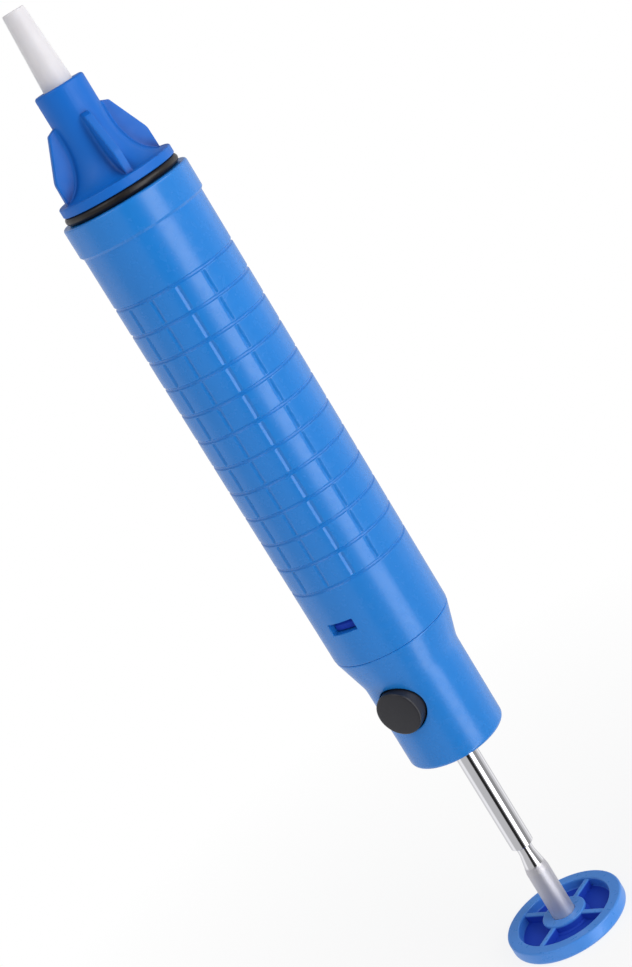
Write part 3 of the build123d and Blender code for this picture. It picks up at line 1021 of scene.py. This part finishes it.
def blue_plastic(name, shades, rough, shaded_hollow=None, gloss=0.5, corners=False):
    """Moulded blue; a given recess (radius and heights, mm) is painted a deeper blue as painted shade and
    made duller, and with corners the inner corners get painted shade.
    """
    nodes = Nodes(name)
    colour = nodes.blend(nodes.noise(90), *shades)
    roughness = nodes.between(nodes.noise(700, 2), *rough)
    if shaded_hollow:
        # painted shade: the recess is painted a deeper blue
        inside = nodes.sunk(*shaded_hollow)
        colour = nodes.blend(inside, colour, HOLLOW_SHADE_BLUE)
        roughness = nodes.blend(inside, roughness, HOLLOW_ROUGH, "FLOAT")
    if corners:
        # painted shade: inner corners painted a deeper blue by ambient occlusion
        colour = nodes.blend(nodes.corners(CORNER_SHADE_REACH * MM), colour, CORNER_SHADE_BLUE)
    nodes.into(colour, "Base Color")
    nodes.into(roughness, "Roughness")
    nodes.fixed("IOR", 1.5)
    nodes.fixed("Specular IOR Level", gloss)
    nodes.bump(nodes.noise(120, 0), 0.03, 0.0001)
    return nodes.material


def white_plastic():
    """Milky plastic that lets light into it."""
    nodes = Nodes("nozzle white")
    nodes.into(nodes.blend(nodes.noise(260), (0.68, 0.66, 0.68), (0.76, 0.75, 0.77)), "Base Color")
    nodes.into(nodes.between(nodes.noise(900, 4), 0.38, 0.5), "Roughness")
    nodes.fixed("Subsurface Weight", 0.85)
    nodes.fixed("Subsurface Radius", (0.004, 0.0038, 0.0036))
    nodes.bump(nodes.noise(1400, 4), 0.12, 0.00004)
    return nodes.material


def dark_plastic(name, one, other):
    """Near-black plastic with a fine grain."""
    nodes = Nodes(name)
    nodes.into(nodes.blend(nodes.noise(300), one, other), "Base Color")
    nodes.into(nodes.between(nodes.noise(1100, 5), 0.34, 0.48), "Roughness")
    nodes.bump(nodes.noise(2600, 3), 0.16, 0.00004)
    return nodes.material


def rubber(name, one, other):
    """Dull black rubber."""
    nodes = Nodes(name)
    nodes.into(nodes.blend(nodes.noise(420), one, other), "Base Color")
    nodes.into(nodes.between(nodes.noise(1500, 4), 0.3, 0.46), "Roughness")
    nodes.fixed("Specular IOR Level", 0.4)
    nodes.bump(nodes.noise(1800, 4), 0.2, 0.00005)
    return nodes.material


def steel(name, colour, rough, streak):
    """Metal with fine marks; streak stretches them along Z where it is below 1."""
    nodes = Nodes(name)
    darker = tuple(0.86 * c for c in colour)
    marks = nodes.noise(1600, 4, stretch=(1, 1, streak))
    nodes.into(nodes.blend(marks, darker, colour), "Base Color")
    nodes.into(nodes.between(marks, *rough), "Roughness")
    nodes.fixed("Metallic", 1.0)
    nodes.bump(marks, 0.08, 0.00002)
    return nodes.material


def rod_steel():
    """Polished rod whose turned foot, up to SATIN_LINE on its cone, is satin."""
    nodes = Nodes("rod steel")
    split = nodes.add("ShaderNodeSeparateXYZ")
    nodes.link(nodes.place(), split.inputs["Vector"])
    satin = nodes.between(split.outputs["Z"], 1, 0, (SATIN_LINE - 0.25) * MM, (SATIN_LINE + 0.25) * MM)
    nodes.into(nodes.blend(satin, (0.84, 0.84, 0.86), (0.7, 0.69, 0.72)), "Base Color")
    marks = nodes.noise(2400, 4, stretch=(1, 1, 6))
    polish = nodes.between(marks, 0.05, 0.11)
    nodes.into(nodes.blend(satin, polish, nodes.between(marks, 0.55, 0.62), "FLOAT"), "Roughness")
    nodes.fixed("Metallic", 1.0)
    nodes.bump(marks, 0.05, 0.00002)
    return nodes.material


def floor_paper():
    """Pale paper that turns into even white away from the object, so that it shows no far edge."""
    nodes = Nodes("floor paper")
    nodes.into(nodes.blend(nodes.noise(60), (0.86, 0.86, 0.87), (0.88, 0.88, 0.89)), "Base Color")
    nodes.fixed("Roughness", 0.9)
    nodes.fixed("Specular IOR Level", 0.1)
    distance = nodes.add("ShaderNodeVectorMath", operation="LENGTH")
    nodes.link(nodes.place(), distance.inputs[0])
    fade = nodes.between(distance.outputs["Value"], FLOOR_GLOW, 1, FLOOR_FADE[0] * MM, FLOOR_FADE[1] * MM)
    white = nodes.add("ShaderNodeEmission")
    white.inputs["Strength"].default_value = BACKGROUND
    mix = nodes.add("ShaderNodeMixShader")
    nodes.link(fade, mix.inputs["Fac"])
    nodes.link(nodes.shader.outputs["BSDF"], mix.inputs[1])
    nodes.link(white.outputs["Emission"], mix.inputs[2])
    nodes.link(mix.outputs["Shader"], nodes.tree.nodes["Material Output"].inputs["Surface"])
    return nodes.material


# -------- put together

def finish_piece(obj, body, material, slot, *nodes):
    """Gives a new piece its material, hides the CAD nodes it stands for and hangs it on its body's empty."""
    obj.data.materials.clear()
    obj.data.materials.append(material)
    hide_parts(*nodes)
    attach(obj, body)
    return obj


# zones (radius, lowest and highest height, mm) painted a deeper blue as painted shade: round the lugs behind
# the windows, and the knob's recess
LUG_SHADE_ZONE = (LUG_R + 0.5, WINDOW_LOW - 1, WINDOW_HIGH + 1)
KNOB_SHADE_ZONE = (KNOB_RECESS_R - 0.1, -1, KNOB_TOP - 0.5)

blue = blue_plastic("blue plastic", BLUE, (0.2, 0.3))
housing_blue = blue_plastic("housing blue", BLUE, (0.2, 0.3), LUG_SHADE_ZONE)
knob_lit_blue = blue_plastic("knob lit blue", KNOB_LIT_BLUE, (0.26, 0.36), KNOB_SHADE_ZONE)
# the nose: a deeper copy of the blue as painted shade, with painted shade in its inner corners
nose_shaded_blue = blue_plastic("nose shaded blue", NOSE_SHADED_BLUE, (0.4, 0.5), gloss=0.3, corners=True)
white = white_plastic()
button_grey = dark_plastic("button grey", (0.012, 0.012, 0.017), (0.018, 0.018, 0.024))
piston_black = dark_plastic("piston black", (0.016, 0.016, 0.018), (0.026, 0.026, 0.028))
seal_rubber = rubber("seal rubber", (0.006, 0.004, 0.004), (0.011, 0.008, 0.007))
buffer_rubber = rubber("buffer rubber", (0.02, 0.02, 0.021), (0.032, 0.032, 0.033))
polished = rod_steel()
zinc = steel("zinc plated steel", (0.62, 0.62, 0.63), (0.24, 0.36), 1)
pin_steel = steel("pin steel", (0.72, 0.72, 0.73), (0.14, 0.24), 0.1)
spring_steel = steel("spring steel", (0.5, 0.5, 0.51), (0.22, 0.34), 1)

finish_piece(barrel(), "housing", blue, "barrel", "barrel")
finish_piece(rear_housing(), "housing", housing_blue, "rear_housing", "rear_housing")
finish_piece(knob(), "plunger", knob_lit_blue, "knob", "plunger_knob")
finish_piece(rod(), "plunger", polished, "rod", "plunger_rod")
finish_piece(button(), "trigger", button_grey, "button", "trigger_button")
finish_piece(nose_cone(), "nose", nose_shaded_blue, "nose", "nose_cone")
finish_piece(nozzle(), "nose", white, "nozzle", "nozzle")
finish_piece(o_ring("nose_o_ring_body", "nose_o_ring", O_RING_WIRE_R), "nose", seal_rubber, "seal",
             "nose_o_ring")
finish_piece(piston(), "plunger", piston_black, "piston", "piston")
finish_piece(o_ring("piston_o_ring_body", "piston_o_ring", SEAL_WIRE_R), "plunger", seal_rubber, "seal",
             "piston_o_ring")
for node in ("piston_back_washer", "piston_front_washer"):
    finish_piece(washer(node + "_disc", node), "plunger", zinc, "hardware", node)

coils = finish_piece(main_spring(), "housing", spring_steel, "spring", "main_spring")
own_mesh(coils)
coils = finish_piece(trigger_spring(), "housing", spring_steel, "spring", "trigger_spring")
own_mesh(coils)

for node, material in (("cleaning_pin", pin_steel), ("piston_nut", zinc), ("latch_plate", zinc),
                       ("stop_buffer", buffer_rubber)):
    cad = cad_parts[node]
    cad.data.materials.clear()
    cad.data.materials.append(material)


# -------- floor, light and camera

def make_floor():
    """Round floor that the knob stands on."""
    outline = [(0, -1), (FLOOR_R, -1), (FLOOR_R, 0), (0, 0)]
    floor = lathe("floor", outline, around=96)
    floor.data.materials.append(floor_paper())
    floor.visible_glossy = False


def studio_world():
    """Even white behind the object, and round it a studio whose brightness changes with direction."""
    world = bpy.data.worlds.new("studio")
    world.use_nodes = True
    bpy.context.scene.world = world
    tree = world.node_tree
    links = tree.links
    tree.nodes.clear()

    def maths(operation, *values):
        node = tree.nodes.new("ShaderNodeMath")
        node.operation = operation
        for socket, value in zip(node.inputs, values):
            if isinstance(value, (int, float)):
                socket.default_value = value
            else:
                links.new(value, socket)
        return node.outputs["Value"]

    direction = tree.nodes.new("ShaderNodeTexCoord").outputs["Generated"]
    split = tree.nodes.new("ShaderNodeSeparateXYZ")
    links.new(direction, split.inputs["Vector"])
    turn = maths("ARCTAN2", split.outputs["Y"], split.outputs["X"])
    light = STUDIO_LEVEL
    for middle, half_width, edge, change in STUDIO_BANDS:
        off = maths("SUBTRACT", turn, math.radians(middle))
        off = maths("ABSOLUTE", maths("WRAP", off, math.pi, -math.pi))
        ramp = tree.nodes.new("ShaderNodeMapRange")
        ramp.interpolation_type = "SMOOTHERSTEP"
        ramp.inputs["From Min"].default_value = math.radians(half_width)
        ramp.inputs["From Max"].default_value = math.radians(half_width + edge)
        ramp.inputs["To Min"].default_value = change
        ramp.inputs["To Max"].default_value = 0
        links.new(off, ramp.inputs["Value"])
        light = maths("ADD", light, ramp.outputs["Result"])
    height = maths("MAXIMUM", split.outputs["Z"], 0)
    shade_above = maths("SUBTRACT", 1, maths("MULTIPLY", TOP_SHADE, height))
    light = maths("MULTIPLY", maths("MAXIMUM", light, DARKEST), shade_above)
    studio = tree.nodes.new("ShaderNodeBackground")
    studio.inputs["Color"].default_value = (*STUDIO_COLOUR, 1)
    links.new(light, studio.inputs["Strength"])
    plain = tree.nodes.new("ShaderNodeBackground")
    plain.inputs["Color"].default_value = (1, 1, 1, 1)
    plain.inputs["Strength"].default_value = BACKGROUND
    mix = tree.nodes.new("ShaderNodeMixShader")
    links.new(tree.nodes.new("ShaderNodeLightPath").outputs["Is Camera Ray"], mix.inputs["Fac"])
    links.new(studio.outputs["Background"], mix.inputs[1])
    links.new(plain.outputs["Background"], mix.inputs[2])
    links.new(mix.outputs["Shader"], tree.nodes.new("ShaderNodeOutputWorld").inputs["Surface"])


def back_from(azimuth, elevation):
    """Direction from the object to a viewer; azimuth 0 looks along +Y and 90 along -X."""
    a, e = math.radians(azimuth), math.radians(elevation)
    return Vector((math.sin(a) * math.cos(e), -math.cos(a) * math.cos(e), math.sin(e)))


def soft_light(name, azimuth, elevation, distance, size, power):
    """Area light that faces the object's middle; distance and size in metres."""
    data = bpy.data.lights.new(name, "AREA")
    data.shape = "RECTANGLE"
    data.size, data.size_y = size
    data.energy = power
    lamp = in_scene(name, data)
    back = back_from(azimuth, elevation)
    lamp.location = Vector(AIM) * MM + back * distance
    lamp.rotation_mode = "QUATERNION"
    lamp.rotation_quaternion = (-back).to_track_quat("-Z", "Y")
    lamp.visible_camera = False


def make_camera():
    """Camera that looks at AIM with its top rolled to the picture's right."""
    data = bpy.data.cameras.new("camera")
    data.lens = CAMERA_LENS
    data.clip_start, data.clip_end = 0.01, 10
    camera = in_scene("camera", data)
    back = back_from(CAMERA_AZIMUTH, CAMERA_DOWN)
    camera.location = (Vector(AIM) + back * CAMERA_DISTANCE) * MM
    roll = Matrix.Rotation(math.radians(-CAMERA_ROLL), 4, "Z").to_quaternion()
    camera.rotation_mode = "QUATERNION"
    camera.rotation_quaternion = (-back).to_track_quat("-Z", "Y") @ roll
    bpy.context.scene.camera = camera


make_floor()
studio_world()
soft_light("key light", 100, 24, 0.7, (0.45, 0.45), KEY_POWER)
soft_light("fill light", -15, 52, 0.8, (0.5, 0.5), FILL_POWER)
make_camera()
bpy.context.scene.view_settings.view_transform = "Standard"
